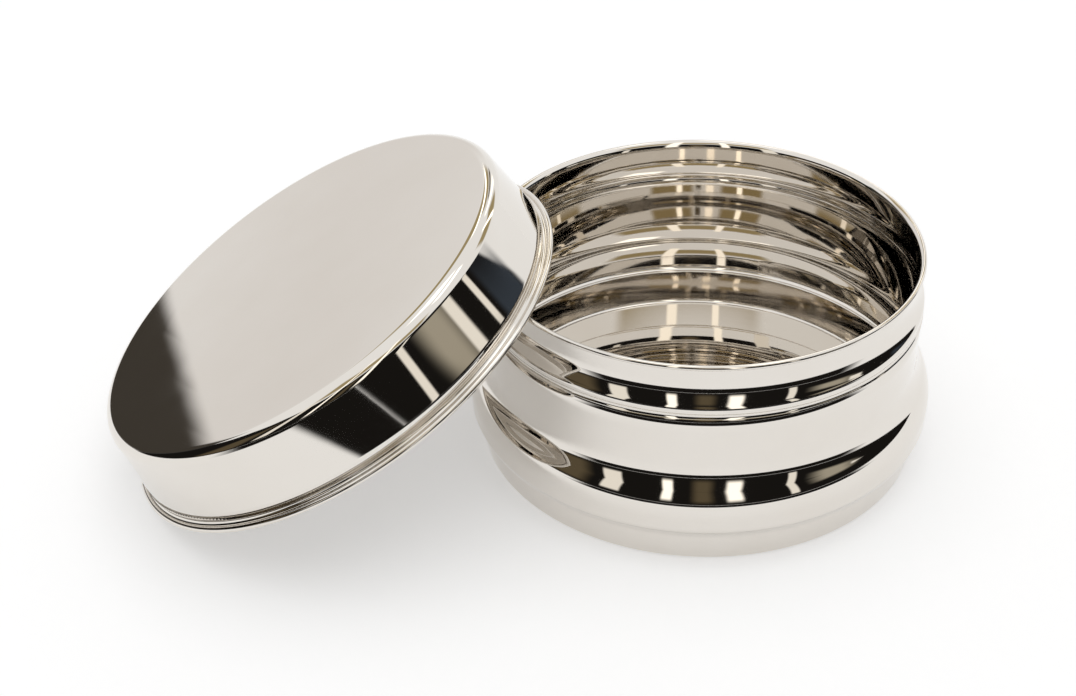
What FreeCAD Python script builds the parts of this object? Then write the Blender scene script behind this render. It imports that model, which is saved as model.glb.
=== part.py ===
import FreeCAD, Part
import math
import os

import Sketcher

# Chapati box: a mirror polished steel pot with a rolled lip, a waist and a belly,
# and a loose deep lid that leans on the pot with its rolled edge on the table.
# Millimetres, +Z up. The origin is the middle of the pot's underside.

os.makedirs("parts", exist_ok=True)
doc = FreeCAD.newDocument("chapati_box")
sheet = doc.addObject("Spreadsheet::Sheet", "dims")

SIZES = [
    # the pot as a whole
    ("rim_radius", "95"),
    ("pot_height", "95"),
    ("steel", "0.8"),
    # foot and lower band
    ("foot_round", "3"),
    ("band_lean", "15"),
    ("crease_rise", "16.6"),
    ("crease_depth", "0.9"),
    ("curl_rise", "3"),
    # belly and shoulder
    ("belly_reach", "8"),
    ("belly_band", "5"),
    ("shoulder_rise", "23.7"),
    ("waist_reach", "0.7"),
    ("waist_bow", "175"),
    # groove and ridge under the neck, the groove measured down from the lip
    ("groove_drop", "24.4"),
    ("groove_width", "2.6"),
    ("groove_round", "1.95"),
    ("groove_reach", "1.1"),
    ("ridge_lift", "1.2"),
    ("ridge_reach", "1.05"),
    ("ridge_round", "4"),
    ("neck_inset", "2.6"),
    ("neck_round", "16"),
    # rolled lip
    ("lip_bead", "1.1"),
    ("lip_flare", "3.6"),
    ("lip_tuck", "50"),
    ("flare_round", "2.016"),
    ("flare_in_round", "4.392"),
    # lid
    ("lid_reach", "13"),
    ("lid_depth", "54.4"),
    ("lid_bead", "1.4"),
    ("lid_collar", "3.4"),
    ("collar_rise", "5"),
    ("lid_edge_round", "25"),
    ("lid_taper", "5.2"),
    ("collar_round", "1.5"),
    ("collar_in_round", "3"),
    ("lid_tuck_in", "35"),
    ("lid_tuck_out", "40"),
    # how the lid leans on the pot
    ("lid_lean", "28.6"),
    ("lid_heading", "9.4"),
    ("rest_gap", "0.3"),
]

FOLLOWING = [
    # foot: a round of foot_round that runs into the leaning band
    ("crease_r", "rim_radius + belly_reach - crease_depth"),
    ("foot_z", "foot_round * (1 - sin(band_lean * 1deg))"),
    ("foot_r", "crease_r - (crease_rise - foot_z) * tan(band_lean * 1deg)"),
    ("foot_flat", "foot_r - foot_round * cos(band_lean * 1deg)"),
    ("foot_in_r", "foot_r - steel * cos(band_lean * 1deg)"),
    ("foot_in_z", "foot_z + steel * sin(band_lean * 1deg)"),
    ("foot_in_round", "foot_round - steel"),
    # belly: curls out of the crease, stands upright, then turns in to the shoulder
    ("belly_r", "rim_radius + belly_reach"),
    ("curl_round", "(curl_rise ^ 2 + crease_depth ^ 2) / (2 * crease_depth)"),
    ("curl_in_round", "curl_round - steel"),
    ("crease_in_r", "crease_r - steel * (curl_round - crease_depth) / curl_round"),
    ("crease_in_z", "crease_rise + steel * curl_rise / curl_round"),
    ("belly_low_z", "crease_rise + curl_rise"),
    ("belly_top_z", "belly_low_z + belly_band"),
    ("belly_in_r", "belly_r - steel"),
    # shoulder: two equal arcs, upright at both ends
    ("waist_r", "rim_radius + waist_reach"),
    ("waist_z", "belly_top_z + shoulder_rise"),
    ("shoulder_in", "belly_r - waist_r"),
    ("shoulder_turn", "2 * atan(shoulder_in / shoulder_rise)"),
    ("shoulder_round", "(shoulder_rise ^ 2 + shoulder_in ^ 2) / (4 * shoulder_in)"),
    ("shoulder_mid_r", "(belly_r + waist_r) / 2"),
    ("shoulder_mid_z", "(belly_top_z + waist_z) / 2"),
    ("shoulder_in_r", "shoulder_mid_r - steel * cos(shoulder_turn)"),
    ("shoulder_in_z", "shoulder_mid_z - steel * sin(shoulder_turn)"),
    ("shoulder_inner", "shoulder_round - steel"),
    ("shoulder_outer", "shoulder_round + steel"),
    ("waist_in_r", "waist_r - steel"),
    ("waist_in_bow", "waist_bow + steel"),
    # groove and ridge
    ("ridge_r", "rim_radius + ridge_reach"),
    ("groove_low_r", "rim_radius + groove_reach"),
    ("groove_low_z", "pot_height - groove_drop"),
    ("groove_top_z", "groove_low_z + groove_width"),
    ("ridge_z", "groove_top_z + ridge_lift"),
    ("groove_top_r", "ridge_r - ridge_round + sqrt(ridge_round ^ 2 - (ridge_z - groove_top_z) ^ 2)"),
    ("ridge_in_round", "ridge_round - steel"),
    ("groove_in_r", "ridge_r - ridge_round + sqrt(ridge_in_round ^ 2 - (ridge_z - groove_top_z) ^ 2)"),
    ("groove_in_low", "groove_low_r - steel"),
    ("groove_in_round", "groove_round + steel"),
    # upper shoulder: ridge arc running into the wider neck arc
    ("neck_r", "rim_radius - neck_inset"),
    ("neck_turn", "acos(1 - (ridge_r - neck_r) / (ridge_round + neck_round))"),
    ("turn_r", "ridge_r - ridge_round * (1 - cos(neck_turn))"),
    ("turn_z", "ridge_z + ridge_round * sin(neck_turn)"),
    ("neck_z", "ridge_z + (ridge_round + neck_round) * sin(neck_turn)"),
    ("turn_in_r", "turn_r - steel * cos(neck_turn)"),
    ("turn_in_z", "turn_z - steel * sin(neck_turn)"),
    ("neck_in_r", "neck_r - steel"),
    ("neck_in_round", "neck_round + steel"),
    # rolled lip
    ("lip_r", "rim_radius - lip_bead"),
    ("lip_z", "pot_height - lip_bead"),
    ("flare_z", "pot_height - lip_flare"),
    ("lip_tuck_r", "lip_r - lip_bead * cos(lip_tuck * 1deg)"),
    ("lip_tuck_low", "lip_z - lip_bead * sin(lip_tuck * 1deg)"),
    ("lip_tuck_top", "lip_z + lip_bead * sin(lip_tuck * 1deg)"),
    # lid
    ("lid_r", "rim_radius + lid_reach"),
    ("lid_bead_r", "lid_r - lid_bead"),
    ("lid_wall_r", "lid_r - lid_collar"),
    ("edge_z", "lid_depth - lid_edge_round * (1 - sin(lid_taper * 1deg))"),
    ("edge_r", "lid_wall_r - (edge_z - collar_rise) * tan(lid_taper * 1deg)"),
    ("lid_flat", "edge_r - lid_edge_round * cos(lid_taper * 1deg)"),
    ("edge_in_r", "edge_r - steel * cos(lid_taper * 1deg)"),
    ("edge_in_z", "edge_z - steel * sin(lid_taper * 1deg)"),
    ("edge_in_round", "lid_edge_round - steel"),
    ("lid_in_z", "lid_depth - steel"),
    ("collar_in_r", "lid_wall_r - steel * cos(lid_taper * 1deg)"),
    ("collar_in_z", "collar_rise - steel * sin(lid_taper * 1deg)"),
    ("bead_in_r", "lid_bead_r - lid_bead * cos(lid_tuck_in * 1deg)"),
    ("bead_in_z", "lid_bead * (1 - sin(lid_tuck_in * 1deg))"),
    ("bead_top_r", "lid_bead_r - lid_bead * cos(lid_tuck_out * 1deg)"),
    ("bead_top_z", "lid_bead * (1 + sin(lid_tuck_out * 1deg))"),
]

for row, (name, text) in enumerate(SIZES + FOLLOWING, start=1):
    sheet.set("A%d" % row, name)
    sheet.set("B%d" % row, text if row <= len(SIZES) else "=" + text)
    sheet.setAlias("B%d" % row, name)
doc.recompute()


def size(name):
    value = getattr(sheet, name)
    return float(value.Value) if hasattr(value, "Value") else float(value)


def place(sketch, piece, end, r_name, z_name):
    """Hold one corner of the outline: None means on the axis or on the base line."""
    if r_name is None:
        sketch.addConstraint(Sketcher.Constraint("PointOnObject", piece, end, -2))
    else:
        i = sketch.addConstraint(Sketcher.Constraint("DistanceX", -1, 1, piece, end, size(r_name)))
        sketch.setExpression("Constraints[%d]" % i, "dims." + r_name)
    if z_name is None:
        sketch.addConstraint(Sketcher.Constraint("PointOnObject", piece, end, -1))
    else:
        i = sketch.addConstraint(Sketcher.Constraint("DistanceY", -1, 1, piece, end, size(z_name)))
        sketch.setExpression("Constraints[%d]" % i, "dims." + z_name)


def arc(start, end, radius, bulge):
    """Arc from start to end; bulge +1 turns left along the way, -1 turns right."""
    across = end - start
    half = across.Length / 2
    side = FreeCAD.Vector(-across.y, across.x, 0).normalize() * bulge
    centre = start + across * 0.5 + side * math.sqrt(radius ** 2 - half ** 2)
    first, last = (start, end) if bulge > 0 else (end, start)
    a = math.atan2(first.y - centre.y, first.x - centre.x)
    b = math.atan2(last.y - centre.y, last.x - centre.x)
    circle = Part.Circle(centre, FreeCAD.Vector(0, 0, 1), radius)
    return Part.ArcOfCircle(circle, a, b if b > a else b + 2 * math.pi)


def spun(name, outline):
    """A body turned about the Z axis from a closed outline of lines and arcs."""
    body = doc.addObject("PartDesign::Body", name)
    body.Label = name
    sketch = body.newObject("Sketcher::SketchObject", name + "_outline")
    plane = [f for f in body.Origin.OriginFeatures if f.Role == "XZ_Plane"][0]
    sketch.AttachmentSupport = [(plane, "")]
    sketch.MapMode = "FlatFace"
    spots = [FreeCAD.Vector(size(r) if r else 0, size(z) if z else 0, 0) for r, z, _, _ in outline]
    ends = []
    for i, (r_name, z_name, radius, bulge) in enumerate(outline):
        start, end = spots[i - 1], spots[i]
        if radius is None:
            sketch.addGeometry(Part.LineSegment(start, end), False)
            ends.append((1, 2))
        else:
            sketch.addGeometry(arc(start, end, size(radius), bulge), False)
            ends.append((1, 2) if bulge > 0 else (2, 1))
    for i, (r_name, z_name, radius, bulge) in enumerate(outline):
        after = (i + 1) % len(outline)
        sketch.addConstraint(Sketcher.Constraint("Coincident", i, ends[i][1], after, ends[after][0]))
        place(sketch, i, ends[i][1], r_name, z_name)
        if radius is not None:
            k = sketch.addConstraint(Sketcher.Constraint("Radius", i, size(radius)))
            sketch.setExpression("Constraints[%d]" % k, "dims." + radius)
    turn = body.newObject("PartDesign::Revolution", name + "_spun")
    turn.Profile = sketch
    turn.ReferenceAxis = (sketch, ["V_Axis"])
    turn.Angle = 360
    doc.recompute()
    return body


# Each row is where a stretch of the outline ends, with its radius and bulge if it is an arc.
pot = spun("pot_body", [
    # underside and foot
    ("foot_flat", None, None, 0),
    ("foot_r", "foot_z", "foot_round", 1),
    # leaning band up to the crease, then the belly
    ("crease_r", "crease_rise", None, 0),
    ("belly_r", "belly_low_z", "curl_round", 1),
    ("belly_r", "belly_top_z", None, 0),
    ("shoulder_mid_r", "shoulder_mid_z", "shoulder_round", 1),
    ("waist_r", "waist_z", "shoulder_round", -1),
    # waist, groove, ridge and neck
    ("groove_low_r", "groove_low_z", "waist_bow", -1),
    ("groove_top_r", "groove_top_z", "groove_round", -1),
    ("turn_r", "turn_z", "ridge_round", 1),
    ("neck_r", "neck_z", "neck_round", -1),
    ("neck_r", "flare_z", None, 0),
    # rolled lip
    ("lip_tuck_r", "lip_tuck_low", "flare_round", -1),
    ("rim_radius", "lip_z", "lip_bead", 1),
    ("lip_r", "pot_height", "lip_bead", 1),
    ("lip_tuck_r", "lip_tuck_top", "lip_bead", 1),
    ("neck_in_r", "flare_z", "flare_in_round", 1),
    # the same shape again on the inside, one sheet of steel in
    ("neck_in_r", "neck_z", None, 0),
    ("turn_in_r", "turn_in_z", "neck_in_round", 1),
    ("groove_in_r", "groove_top_z", "ridge_in_round", -1),
    ("groove_in_low", "groove_low_z", "groove_in_round", 1),
    ("waist_in_r", "waist_z", "waist_in_bow", 1),
    ("shoulder_in_r", "shoulder_in_z", "shoulder_outer", 1),
    ("belly_in_r", "belly_top_z", "shoulder_inner", -1),
    ("belly_in_r", "belly_low_z", None, 0),
    ("crease_in_r", "crease_in_z", "curl_in_round", -1),
    ("foot_in_r", "foot_in_z", None, 0),
    ("foot_flat", "steel", "foot_in_round", -1),
    (None, "steel", None, 0),
    (None, None, None, 0),
])

lid = spun("lid", [
    # inside of the top and wall
    ("lid_flat", "lid_in_z", None, 0),
    ("edge_in_r", "edge_in_z", "edge_in_round", -1),
    ("collar_in_r", "collar_in_z", None, 0),
    ("bead_in_r", "bead_in_z", "collar_in_round", 1),
    # rolled edge
    ("lid_bead_r", None, "lid_bead", 1),
    ("lid_r", "lid_bead", "lid_bead", 1),
    ("bead_top_r", "bead_top_z", "lid_bead", 1),
    # groove above it, wall, wide rounded edge and flat top
    ("lid_wall_r", "collar_rise", "collar_round", -1),
    ("edge_r", "edge_z", None, 0),
    ("lid_flat", "lid_depth", "lid_edge_round", 1),
    (None, "lid_depth", None, 0),
    (None, "lid_in_z", None, 0),
])

# The lid leans: its rolled edge stands on the table and lies across the pot's lip.
TURN_STEPS = 360
TURN_STEP = 0.25
AWAY_STEP = 0.05
lean = math.radians(size("lid_lean"))
bead = size("lid_bead")
reach = size("lid_bead_r")
mid_z = reach * math.sin(lean) + bead


def lip_gap(away):
    """Gap between the lid's rolled edge and the pot's lip, the lid's middle this far from the axis."""
    nearest = math.inf
    for step in range(TURN_STEPS + 1):
        turn = math.radians(step * TURN_STEP)
        x = -away + reach * math.cos(lean) * math.cos(turn)
        y = reach * math.sin(turn)
        z = mid_z + reach * math.sin(lean) * math.cos(turn)
        nearest = min(nearest, math.hypot(math.hypot(x, y) - size("lip_r"), z - size("lip_z")))
    return nearest - bead - size("lip_bead")


away = size("lip_r") + reach * math.cos(lean)
while lip_gap(away - AWAY_STEP) > size("rest_gap"):
    away -= AWAY_STEP

# The lid's own origin is the middle of its opening, one bead's radius below the bead's middle.
foot_x = -away + bead * math.sin(lean)
foot_z = mid_z - bead * math.cos(lean)
tip = FreeCAD.Rotation(FreeCAD.Vector(0, 1, 0), -math.degrees(lean))
heading = FreeCAD.Rotation(FreeCAD.Vector(0, 0, 1), size("lid_heading"))
lid.Placement = FreeCAD.Placement(
    heading.multVec(FreeCAD.Vector(foot_x, 0, foot_z)), heading.multiply(tip))
doc.recompute()

for obj in doc.Objects:
    if "Invalid" in obj.State or "Error" in obj.State:
        raise RuntimeError("%s did not build: %s" % (obj.Name, obj.State))
for body in (pot, lid):
    if body.Shape.isNull() or not body.Shape.isValid():
        raise RuntimeError("%s has no valid shape" % body.Label)
    body.Shape.exportStep("parts/%s.step" % body.Label)
    box = body.Shape.BoundBox
    print(body.Label, "volume %.0f," % body.Shape.Volume, len(body.Shape.Solids), "solid")
    print("    x %.1f to %.1f," % (box.XMin, box.XMax), "y %.1f to %.1f," % (box.YMin, box.YMax),
          "z %.1f to %.1f" % (box.ZMin, box.ZMax))
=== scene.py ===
import math

import bpy
from mathutils import Matrix, Vector


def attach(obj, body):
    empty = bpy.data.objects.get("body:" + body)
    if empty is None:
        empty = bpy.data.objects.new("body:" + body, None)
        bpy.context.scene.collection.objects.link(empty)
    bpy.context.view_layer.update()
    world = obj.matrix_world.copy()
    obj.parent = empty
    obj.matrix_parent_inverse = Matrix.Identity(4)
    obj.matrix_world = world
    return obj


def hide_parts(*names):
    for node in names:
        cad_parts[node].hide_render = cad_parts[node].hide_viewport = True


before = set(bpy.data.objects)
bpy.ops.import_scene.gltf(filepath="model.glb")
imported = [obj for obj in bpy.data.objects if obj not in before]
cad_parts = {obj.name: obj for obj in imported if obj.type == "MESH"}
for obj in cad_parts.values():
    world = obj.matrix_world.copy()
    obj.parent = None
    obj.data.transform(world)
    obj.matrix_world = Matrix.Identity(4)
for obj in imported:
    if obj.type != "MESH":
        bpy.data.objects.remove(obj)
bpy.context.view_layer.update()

# Sizes in metres; _R is a radius, _Z a height, _ROUND the radius of an arc
RIM = 0.095
POT_TALL = 0.095
STEEL = 0.0008
FOOT_ROUND = 0.003
BAND_LEAN = math.radians(9.5)
CREASE_Z = 0.0166
CREASE_DEPTH = 0.0024
CURL_RISE = 0.0036
BELLY_R = RIM + 0.008
BELLY_BAND = 0.005
SHOULDER_RISE = 0.0237
WAIST_R = RIM + 0.0007
WAIST_BOW = 0.175
GROOVE_Z = 0.0706
GROOVE_TALL = 0.0026
GROOVE_ROUND = 0.00195
GROOVE_LOW_R = RIM + 0.0011
RIDGE_R = RIM + 0.00105
RIDGE_ROUND = 0.004
RIDGE_LIFT = 0.0012
NECK_R = RIM - 0.0026
NECK_ROUND = 0.016
LIP_BEAD = 0.0011
LIP_FLARE = 0.0036
LIP_FLARE_ROUND = 0.002016
LIP_INNER_ROUND = 0.004392
LIP_TUCK = math.radians(50)
LID_R = RIM + 0.013
LID_TALL = 0.0381
LID_BEAD = 0.0014
LID_WALL_R = LID_R - 0.0034
LID_TUCK_IN = math.radians(35)
LID_TUCK_OUT = math.radians(40)
LID_INNER_ROUND = 0.003
LID_COLLAR_Z = 0.005
LID_COLLAR_ROUND = 0.0015
LID_EDGE_ROUND = 0.0055
LID_TAPER = math.radians(7.6)
LID_LEAN = math.radians(28.6)
LID_HEADING = math.radians(9.4)
LID_AT = Vector((-0.156394, -0.025891, 0.051199))

# How finely an outline is cut up along its lines and arcs and round the axis
LINE_STEP = 0.004
ARC_STEP = math.radians(3)
TURN_STEPS = 320
SAME_POINT = 0.00002

# Marks of the spinning: how many fit in a metre and how deep they are
LINES_PER_M, LINE_DEEP = 2600, 0.0000001
RINGS_PER_M, RING_DEEP = 150, 0.0000015
WAVES_PER_M, WAVE_DEEP = 22, 0.00005

# Outlines: lists of (r, z, normal r, normal z)


class Pen:
    """Draws an outline in the r, z half plane; the metal is on the left of its path."""

    def __init__(self, r, z):
        self.at = Vector((r, z))
        self.points = []

    def line(self, r, z):
        end = Vector((r, z))
        way = end - self.at
        normal = Vector((way.y, -way.x)).normalized()
        steps = max(1, math.ceil(way.length / LINE_STEP))
        for i in range(steps + 1):
            self.points.append((*(self.at + way * (i / steps)), *normal))
        self.at = end

    def arc(self, r, z, radius, bulge):
        """bulge +1 turns left along the way, -1 turns right."""
        end = Vector((r, z))
        across = end - self.at
        half = across.length / 2
        side = Vector((-across.y, across.x)).normalized() * bulge
        centre = (self.at + end) / 2 + side * math.sqrt(max(0, radius ** 2 - half ** 2))
        first = self.at - centre
        turn = 2 * math.asin(min(1, half / radius)) * bulge
        steps = max(2, math.ceil(abs(turn) / ARC_STEP))
        for i in range(steps + 1):
            spoke = Matrix.Rotation(turn * i / steps, 2) @ first
            self.points.append((*(centre + spoke), *(spoke.normalized() * bulge)))
        self.at = end


def shell(points, thick):
    """The other side of the sheet: the same outline moved in by its thickness, run backwards."""
    return [(r - nr * thick, z - nz * thick, -nr, -nz) for r, z, nr, nz in reversed(points)]


def merged(points):
    """Points that fall together become one, with the mean of their normals."""
    kept = []
    for r, z, nr, nz in points:
        if kept and (Vector((r, z)) - Vector(kept[-1][:2])).length < SAME_POINT:
            mean = (Vector(kept[-1][2:]) + Vector((nr, nz))).normalized()
            kept[-1] = (*kept[-1][:2], *mean)
        else:
            kept.append((r, z, nr, nz))
    return kept


def added(name, verts, faces, layer=None, spots=()):
    """A mesh object in the scene, with a UV map where a layer is named."""
    mesh = bpy.data.meshes.new(name)
    mesh.from_pydata(verts, [], faces)
    if layer:
        for loop, spot in zip(mesh.uv_layers.new(name=layer).data, spots):
            loop.uv = spot
    mesh.update()
    obj = bpy.data.objects.new(name, mesh)
    bpy.context.scene.collection.objects.link(obj)
    return obj


def lathe(name, outline, place=Matrix()):
    """A closed mesh turned about the Z axis and then placed; the outline starts and ends on the axis.

    Its UV map holds the way round (0 to 1) and the way along the outline in metres.
    """
    outline = merged(outline)
    rings = outline[1:-1]
    along = [0.0]
    for before, after in zip(outline, outline[1:]):
        along.append(along[-1] + (Vector(after[:2]) - Vector(before[:2])).length)
    verts = [Vector((0, 0, outline[0][1]))]
    normals = [Vector((0, 0, outline[0][3]))]
    for r, z, nr, nz in rings:
        for i in range(TURN_STEPS):
            a = 2 * math.pi * i / TURN_STEPS
            verts.append(Vector((r * math.cos(a), r * math.sin(a), z)))
            normals.append(Vector((nr * math.cos(a), nr * math.sin(a), nz)))
    verts.append(Vector((0, 0, outline[-1][1])))
    normals.append(Vector((0, 0, outline[-1][3])))
    faces, spots = [], []
    last = len(verts) - 1
    for i in range(TURN_STEPS):
        j = (i + 1) % TURN_STEPS
        u, v = i / TURN_STEPS, (i + 1) / TURN_STEPS
        faces.append((0, 1 + j, 1 + i))
        spots += [(u, along[0]), (v, along[1]), (u, along[1])]
        for k in range(len(rings) - 1):
            low, high = 1 + k * TURN_STEPS, 1 + (k + 1) * TURN_STEPS
            faces.append((low + i, low + j, high + j, high + i))
            spots += [(u, along[k + 1]), (v, along[k + 1]), (v, along[k + 2]), (u, along[k + 2])]
        top = 1 + (len(rings) - 1) * TURN_STEPS
        faces.append((top + i, top + j, last))
        spots += [(u, along[-2]), (v, along[-2]), (u, along[-1])]
    obj = added(name, [place @ v for v in verts], faces, "turned", spots)
    obj.data.shade_smooth()
    spin = place.to_3x3()
    obj.data.normals_split_custom_set_from_vertices([(spin @ n)[:] for n in normals])
    return obj


def pot_outline():
    """From the middle of the bottom up the outside, over the rolled lip and down the inside."""
    foot_z = FOOT_ROUND * (1 - math.sin(BAND_LEAN))
    crease_r = BELLY_R - CREASE_DEPTH
    foot_r = crease_r - (CREASE_Z - foot_z) * math.tan(BAND_LEAN)
    foot_flat = foot_r - FOOT_ROUND * math.cos(BAND_LEAN)
    curl_round = (CURL_RISE ** 2 + CREASE_DEPTH ** 2) / (2 * CREASE_DEPTH)
    belly_top = CREASE_Z + CURL_RISE + BELLY_BAND
    waist_z = belly_top + SHOULDER_RISE
    drop = BELLY_R - WAIST_R
    shoulder_round = (SHOULDER_RISE ** 2 + drop ** 2) / (4 * drop)
    groove_top = GROOVE_Z + GROOVE_TALL
    groove_top_r = RIDGE_R - RIDGE_ROUND + math.sqrt(RIDGE_ROUND ** 2 - RIDGE_LIFT ** 2)
    ridge_z = groove_top + RIDGE_LIFT
    neck_turn = math.acos(1 - (RIDGE_R - NECK_R) / (RIDGE_ROUND + NECK_ROUND))
    pen = Pen(0, 0)
    pen.line(foot_flat, 0)
    pen.arc(foot_r, foot_z, FOOT_ROUND, 1)
    pen.line(crease_r, CREASE_Z)
    pen.arc(BELLY_R, CREASE_Z + CURL_RISE, curl_round, 1)
    pen.line(BELLY_R, belly_top)
    pen.arc((BELLY_R + WAIST_R) / 2, (belly_top + waist_z) / 2, shoulder_round, 1)
    pen.arc(WAIST_R, waist_z, shoulder_round, -1)
    pen.arc(GROOVE_LOW_R, GROOVE_Z, WAIST_BOW, -1)
    pen.arc(groove_top_r, groove_top, GROOVE_ROUND, -1)
    pen.arc(RIDGE_R - RIDGE_ROUND * (1 - math.cos(neck_turn)),
            ridge_z + RIDGE_ROUND * math.sin(neck_turn), RIDGE_ROUND, 1)
    pen.arc(NECK_R, ridge_z + (RIDGE_ROUND + NECK_ROUND) * math.sin(neck_turn), NECK_ROUND, -1)
    pen.line(NECK_R, POT_TALL - LIP_FLARE)
    lip = Pen(NECK_R, POT_TALL - LIP_FLARE)
    lip_r, lip_z = RIM - LIP_BEAD, POT_TALL - LIP_BEAD
    tuck_r, tuck_z = lip_r - LIP_BEAD * math.cos(LIP_TUCK), LIP_BEAD * math.sin(LIP_TUCK)
    lip.arc(tuck_r, lip_z - tuck_z, LIP_FLARE_ROUND, -1)
    lip.arc(RIM, lip_z, LIP_BEAD, 1)
    lip.arc(lip_r, POT_TALL, LIP_BEAD, 1)
    lip.arc(tuck_r, lip_z + tuck_z, LIP_BEAD, 1)
    lip.arc(NECK_R - STEEL, POT_TALL - LIP_FLARE, LIP_INNER_ROUND, 1)
    return pen.points + lip.points + shell(pen.points, STEEL)


def lid_outline():
    """From the middle of the inside down to the rolled edge, round it and up the outside."""
    bead_r = LID_R - LID_BEAD
    edge_z = LID_TALL - LID_EDGE_ROUND * (1 - math.sin(LID_TAPER))
    edge_r = LID_WALL_R - (edge_z - LID_COLLAR_Z) * math.tan(LID_TAPER)
    flat_r = edge_r - LID_EDGE_ROUND * math.cos(LID_TAPER)
    wall = Pen(LID_WALL_R, LID_COLLAR_Z)
    wall.line(edge_r, edge_z)
    wall.arc(flat_r, LID_TALL, LID_EDGE_ROUND, 1)
    wall.line(0, LID_TALL)
    edge = Pen(LID_WALL_R - STEEL * math.cos(LID_TAPER), LID_COLLAR_Z - STEEL * math.sin(LID_TAPER))
    edge.arc(bead_r - LID_BEAD * math.cos(LID_TUCK_IN), LID_BEAD * (1 - math.sin(LID_TUCK_IN)),
             LID_INNER_ROUND, 1)
    edge.arc(bead_r, 0, LID_BEAD, 1)
    edge.arc(LID_R, LID_BEAD, LID_BEAD, 1)
    edge.arc(bead_r - LID_BEAD * math.cos(LID_TUCK_OUT), LID_BEAD * (1 + math.sin(LID_TUCK_OUT)),
             LID_BEAD, 1)
    edge.arc(LID_WALL_R, LID_COLLAR_Z, LID_COLLAR_ROUND, -1)
    return shell(wall.points, STEEL) + edge.points + wall.points


# Materials

STEEL_DARK = (0.735, 0.695, 0.640, 1)
STEEL_LIGHT = (0.775, 0.742, 0.695, 1)
STEEL_ROUGH = (0.02, 0.05)
HAZE_PER_M = 35
HAZE_SPAN = (0.3, 0.7)
FLOOR_GREY = (0.8, 0.8, 0.8, 1)
FLOOR_GLOW = 0.38
WHITE = (1, 1, 1, 1)


def material(name):
    """An empty material, its node tree and its output node."""
    made = bpy.data.materials.new(name)
    made.use_nodes = True
    tree = made.node_tree
    tree.nodes.clear()
    out = tree.nodes.new("ShaderNodeOutputMaterial")
    return made, tree, out


def maths(tree, operation, first, second, clamp=False):
    """Two values put together; the second is a node socket or a number."""
    node = tree.nodes.new("ShaderNodeMath")
    node.operation = operation
    node.use_clamp = clamp
    tree.links.new(first, node.inputs[0])
    if isinstance(second, bpy.types.NodeSocket):
        tree.links.new(second, node.inputs[1])
    else:
        node.inputs[1].default_value = second
    return node.outputs[0]


def noise(tree, per_m, detail, where):
    """Noise in space, or along one line where the place is a single number."""
    node = tree.nodes.new("ShaderNodeTexNoise")
    one_line = where.type == "VALUE"
    node.noise_dimensions = "1D" if one_line else "3D"
    node.inputs["Scale"].default_value = per_m
    node.inputs["Detail"].default_value = detail
    tree.links.new(where, node.inputs["W" if one_line else "Vector"])
    return node.outputs["Fac"]


def steel_material(name):
    """Mirror steel: fine turning lines, rings and waves left by the spinning, hazy patches."""
    made, tree, out = material(name)
    nodes, links = tree.nodes, tree.links
    metal = nodes.new("ShaderNodeBsdfPrincipled")
    metal.inputs["Metallic"].default_value = 1.0
    in_space = nodes.new("ShaderNodeTexCoord").outputs["Object"]
    turned = nodes.new("ShaderNodeUVMap")
    turned.uv_map = "turned"
    split = nodes.new("ShaderNodeSeparateXYZ")
    links.new(turned.outputs["UV"], split.inputs["Vector"])
    along = split.outputs["Y"]

    haze = noise(tree, HAZE_PER_M, 4, in_space)
    tint = nodes.new("ShaderNodeValToRGB")
    tint.color_ramp.elements[0].color = STEEL_DARK
    tint.color_ramp.elements[1].color = STEEL_LIGHT
    links.new(haze, tint.inputs["Fac"])
    links.new(tint.outputs["Color"], metal.inputs["Base Color"])
    rough = nodes.new("ShaderNodeMapRange")
    rough.inputs["From Min"].default_value, rough.inputs["From Max"].default_value = HAZE_SPAN
    rough.inputs["To Min"].default_value, rough.inputs["To Max"].default_value = STEEL_ROUGH
    links.new(haze, rough.inputs["Value"])
    links.new(rough.outputs["Result"], metal.inputs["Roughness"])

    lines = maths(tree, "MULTIPLY", noise(tree, LINES_PER_M, 2, along), LINE_DEEP)
    rings = maths(tree, "MULTIPLY", noise(tree, RINGS_PER_M, 1, along), RING_DEEP)
    waves = maths(tree, "MULTIPLY", noise(tree, WAVES_PER_M, 1, in_space), WAVE_DEEP)
    height = maths(tree, "ADD", maths(tree, "ADD", lines, rings), waves)
    bump = nodes.new("ShaderNodeBump")
    bump.inputs["Distance"].default_value = 1.0
    links.new(height, bump.inputs["Height"])
    links.new(bump.outputs["Normal"], metal.inputs["Normal"])
    links.new(metal.outputs["BSDF"], out.inputs["Surface"])
    return made


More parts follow.
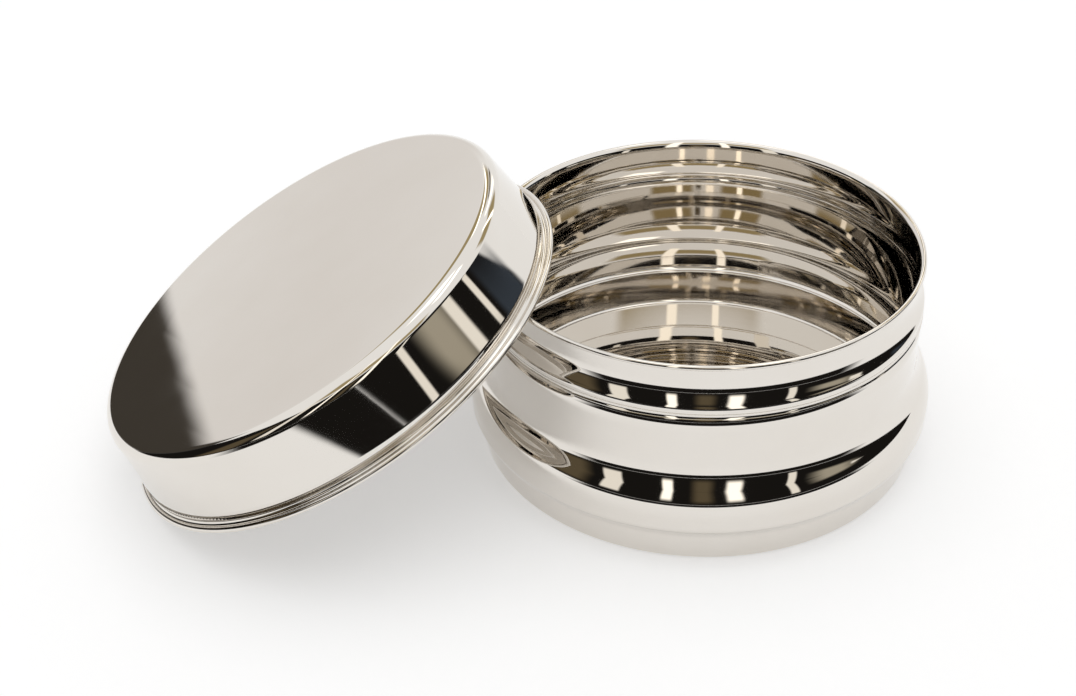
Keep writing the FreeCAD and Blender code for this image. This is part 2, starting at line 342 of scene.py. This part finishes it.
def glow_material(name, colour, soft_x, soft_y, strength):
    """A glow of one colour whose edges fade out over these shares of the card's width and height."""
    made, tree, out = material(name)
    nodes, links = tree.nodes, tree.links
    glow = nodes.new("ShaderNodeEmission")
    glow.inputs["Color"].default_value = (*colour, 1)
    glow.inputs["Strength"].default_value = strength
    clear = nodes.new("ShaderNodeBsdfTransparent")
    where = nodes.new("ShaderNodeUVMap")
    where.uv_map = "card"
    split = nodes.new("ShaderNodeSeparateXYZ")
    links.new(where.outputs["UV"], split.inputs["Vector"])
    cover = None
    for axis, soft in (("X", soft_x), ("Y", soft_y)):
        for far_edge in (False, True):
            fade = nodes.new("ShaderNodeMapRange")
            fade.interpolation_type = "SMOOTHSTEP"
            fade.inputs["From Min"].default_value = 1.0 if far_edge else 0.0
            fade.inputs["From Max"].default_value = 1.0 - soft if far_edge else soft
            links.new(split.outputs[axis], fade.inputs["Value"])
            result = fade.outputs["Result"]
            cover = result if cover is None else maths(tree, "MULTIPLY", cover, result)
    mix = nodes.new("ShaderNodeMixShader")
    links.new(cover, mix.inputs["Fac"])
    links.new(clear.outputs["BSDF"], mix.inputs[1])
    links.new(glow.outputs["Emission"], mix.inputs[2])
    links.new(mix.outputs["Shader"], out.inputs["Surface"])
    return made


def seen_ray(tree):
    """1 for camera, glossy and transmission rays, 0 for the rest."""
    ray = tree.nodes.new("ShaderNodeLightPath")
    total = ray.outputs["Is Camera Ray"]
    for other in ("Is Glossy Ray", "Is Transmission Ray"):
        total = maths(tree, "ADD", total, ray.outputs[other], clamp=True)
    return total


def floor_material():
    """A matt pale floor that keeps its shadows and looks nearly white."""
    made, tree, out = material("floor_white")
    nodes, links = tree.nodes, tree.links
    matt = nodes.new("ShaderNodeBsdfDiffuse")
    matt.inputs["Color"].default_value = FLOOR_GREY
    glow = nodes.new("ShaderNodeEmission")
    glow.inputs["Color"].default_value = WHITE
    links.new(maths(tree, "MULTIPLY", seen_ray(tree), FLOOR_GLOW), glow.inputs["Strength"])
    both = nodes.new("ShaderNodeAddShader")
    links.new(matt.outputs["BSDF"], both.inputs[0])
    links.new(glow.outputs["Emission"], both.inputs[1])
    links.new(both.outputs["Shader"], out.inputs["Surface"])
    return made


# Pieces

pot = lathe("pot_shell", pot_outline())
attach(pot, "pot")
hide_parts("pot_body")
pot.data.materials.append(steel_material("pot_mirror"))

lid_place = (Matrix.Translation(LID_AT) @ Matrix.Rotation(LID_HEADING, 4, "Z")
             @ Matrix.Rotation(-LID_LEAN, 4, "Y"))
lid = lathe("lid_shell", lid_outline(), lid_place)
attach(lid, "lid")
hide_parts("lid")
lid.data.materials.append(steel_material("lid_mirror"))


# Studio

FLOOR_HALF = 12.0
RING_STEP, RING_LEAST = 2, 8
DARK = (0.010, 0.009, 0.008)
BROWN = (0.11, 0.085, 0.050)
TAN = (0.42, 0.38, 0.30)
OLIVE = (0.40, 0.32, 0.17)
CREAM = (1.0, 0.95, 0.86)
GREY_BLUE = (0.04, 0.05, 0.065)
PALE_GREY = (0.845, 0.823, 0.808)
SHADE = (0.055, 0.048, 0.040)
LAMP_WHITE = (1.0, 0.98, 0.95)


def height_at(tops, a):
    """Height at the angle a on the straight run between the corners on its two sides."""
    for (a0, z0), (a1, z1) in zip(tops, tops[1:]):
        if a <= a1:
            return z0 + (z1 - z0) * (a - a0) / (a1 - a0)
    return tops[-1][1]


def card(name, near, far, colour, soft_x, soft_y, strength=1.0):
    """A glowing strip between two rows of points; only reflections see it."""
    verts, faces, spots = [], [], []
    steps = len(near) - 1
    for low, high in zip(near, far):
        verts += [low, high]
    for i in range(steps):
        u, v = i / steps, (i + 1) / steps
        faces.append((2 * i, 2 * i + 2, 2 * i + 3, 2 * i + 1))
        spots += [(u, 0), (v, 0), (v, 1), (u, 1)]
    obj = added(name, verts, faces, "card", spots)
    obj.data.materials.append(glow_material(name + "_glow", colour, soft_x, soft_y, strength))
    obj.visible_camera = False
    obj.visible_diffuse = False
    obj.visible_shadow = False
    obj.visible_transmission = False


def ring_points(radius, heights, start, end):
    """Points round the Z axis from start to end degrees, their heights given by corners."""
    steps = max(RING_LEAST, int((end - start) / RING_STEP))
    points = []
    for i in range(steps + 1):
        degrees = start + (end - start) * i / steps
        a = math.radians(degrees)
        points.append((radius * math.cos(a), radius * math.sin(a), height_at(heights, degrees)))
    return points


def wall(name, radius, low, tops, colour, soft_x=0.1, soft_y=0.1, strength=1.0):
    """An upright card at this radius from the Z axis.

    Its top edge runs through corners of (degrees from +X, height). The edges fade out over the shares
    soft_x of its width and soft_y of its height.
    """
    start, end = tops[0][0], tops[-1][0]
    card(name, ring_points(radius, [(start, low), (end, low)], start, end),
         ring_points(radius, tops, start, end), colour, soft_x, soft_y, strength)


corners = ((-1, -1), (1, -1), (1, 1), (-1, 1))
floor = added("floor", [(x * FLOOR_HALF, y * FLOOR_HALF, 0) for x, y in corners], [(0, 1, 2, 3)])
floor.data.materials.append(floor_material())

# Dark room behind the camera and the far part of the table, which the steel shows as dark bands
wall("room", 1.30, -0.02,
     [(166, 0.5), (190, 0.8), (215, 0.95), (335, 0.95), (352, 0.8), (372, 0.55), (393, 0.3)],
     DARK, 0.02, 0.05)
just_over_table = [(215, 0.002), (350, 0.002)]
card("table_edge", ring_points(0.36, just_over_table, 215, 350),
     ring_points(1.31, just_over_table, 215, 350), DARK, 0.1, 0.03)

# Lighter parts of that room, and its windows
wall("room_left", 1.28, 0.0, [(198, 0.5), (226, 0.9)], BROWN, 0.3, 0.2)
wall("room_middle", 1.28, 0.0, [(268, 0.9), (281, 0.9)], BROWN, 0.4, 0.3)
wall("room_right", 1.28, 0.22, [(320, 0.55), (350, 0.55)], TAN, 0.4, 0.3)
wall("room_far", 1.28, 0.10, [(368, 0.5), (392, 0.4)], GREY_BLUE, 0.2, 0.3)
wall("window_a", 1.25, 0.10, [(229, 1.1), (239, 1.1)], CREAM, 0.15, 0.1)
wall("window_b", 1.25, 0.06, [(256, 2.2), (262, 2.2)], CREAM, 0.25, 0.1, 1.6)
wall("window_c", 1.25, 0.06, [(284, 2.2), (293, 2.2)], CREAM, 0.25, 0.1, 1.6)
wall("window_d", 1.25, 0.05, [(312, 0.7), (317, 0.7)], CREAM, 0.25, 0.1)
wall("window_e", 1.25, 0.30, [(343, 0.50), (352, 0.50)], CREAM, 0.25, 0.25)
wall("window_f", 1.25, 0.32, [(362, 0.60), (367, 0.60)], CREAM, 0.25, 0.25)

# Warm ceiling and high windows, which the inside of the pot shows
wall("ceiling_front", 1.45, 1.05, [(225, 2.1), (330, 2.1)], OLIVE, 0.1, 0.3)
wall("ceiling_back", 1.45, 0.65, [(24, 1.6), (76, 1.6)], OLIVE, 0.15, 0.2)
wall("ceiling_left", 1.45, 0.65, [(98, 1.6), (150, 1.6)], OLIVE, 0.15, 0.2)
wall("dark_strip", 1.43, 0.65, [(92, 1.4), (100, 1.4)], BROWN, 0.3, 0.2)
wall("high_window", 1.40, 0.62, [(48, 1.8), (56, 1.8)], CREAM, 0.3, 0.15, 2.5)
wall("high_window_middle", 1.40, 0.62, [(78, 1.8), (90, 1.8)], CREAM, 0.3, 0.15, 2.0)
wall("high_window_left", 1.40, 0.62, [(112, 1.8), (120, 1.8)], CREAM, 0.3, 0.15, 2.5)
card("softbox", [(-0.7, -0.1, 2.2), (0.1, -0.1, 2.2)], [(-0.7, 0.6, 2.2), (0.1, 0.6, 2.2)],
     LAMP_WHITE, 0.15, 0.15, 2.2)
card("softbox_right", [(0.4, -0.4, 2.2), (0.9, -0.4, 2.2)], [(0.4, 0.5, 2.2), (0.9, 0.5, 2.2)],
     LAMP_WHITE, 0.15, 0.15, 2.2)

# Pale backdrop that the lid's top shows, with a dark corner at its lower left
wall("backdrop", 1.40, -0.02, [(95, 0.75), (165, 0.75)], PALE_GREY, 0.2, 0.5)
wall("corner", 1.30, -0.02, [(138, 0.158), (170, 0.756)], SHADE, 0.04, 0.14)

# Even light from all round and a wide soft lamp overhead
WORLD_LIGHT = 0.52
WORLD_SEEN = 1.0
world = bpy.data.worlds.new("studio")
world.use_nodes = True
tree = world.node_tree
back = tree.nodes["Background"]
back.inputs["Color"].default_value = WHITE
power = tree.nodes.new("ShaderNodeMapRange")
power.inputs["To Min"].default_value = WORLD_LIGHT
power.inputs["To Max"].default_value = WORLD_SEEN
tree.links.new(seen_ray(tree), power.inputs["Value"])
tree.links.new(power.outputs["Result"], back.inputs["Strength"])
bpy.context.scene.world = world

lamp_data = bpy.data.lights.new("overhead", "SUN")
lamp_data.energy = 0.85
lamp_data.angle = math.radians(70)
lamp = bpy.data.objects.new("overhead", lamp_data)
lamp.visible_glossy = False
bpy.context.scene.collection.objects.link(lamp)

# Camera: where the photograph was taken from, and its turns in radians
SPOT = Vector((0, -0.596522, 0.449089))
YAW, PITCH, ROLL = -0.120871, 0.602974, -0.030417
camera_data = bpy.data.cameras.new("camera")
camera_data.sensor_width = 36
camera_data.lens = 53.52
camera = bpy.data.objects.new("camera", camera_data)
bpy.context.scene.collection.objects.link(camera)
ahead = Vector((math.sin(YAW) * math.cos(PITCH), math.cos(YAW) * math.cos(PITCH), -math.sin(PITCH)))
level = Vector((math.cos(YAW), -math.sin(YAW), 0))
above = level.cross(ahead)
right = level * math.cos(ROLL) + above * math.sin(ROLL)
up = above * math.cos(ROLL) - level * math.sin(ROLL)
camera.matrix_world = Matrix.Translation(SPOT) @ Matrix((right, up, -ahead)).transposed().to_4x4()
bpy.context.scene.camera = camera
bpy.context.scene.view_settings.view_transform = "Standard"
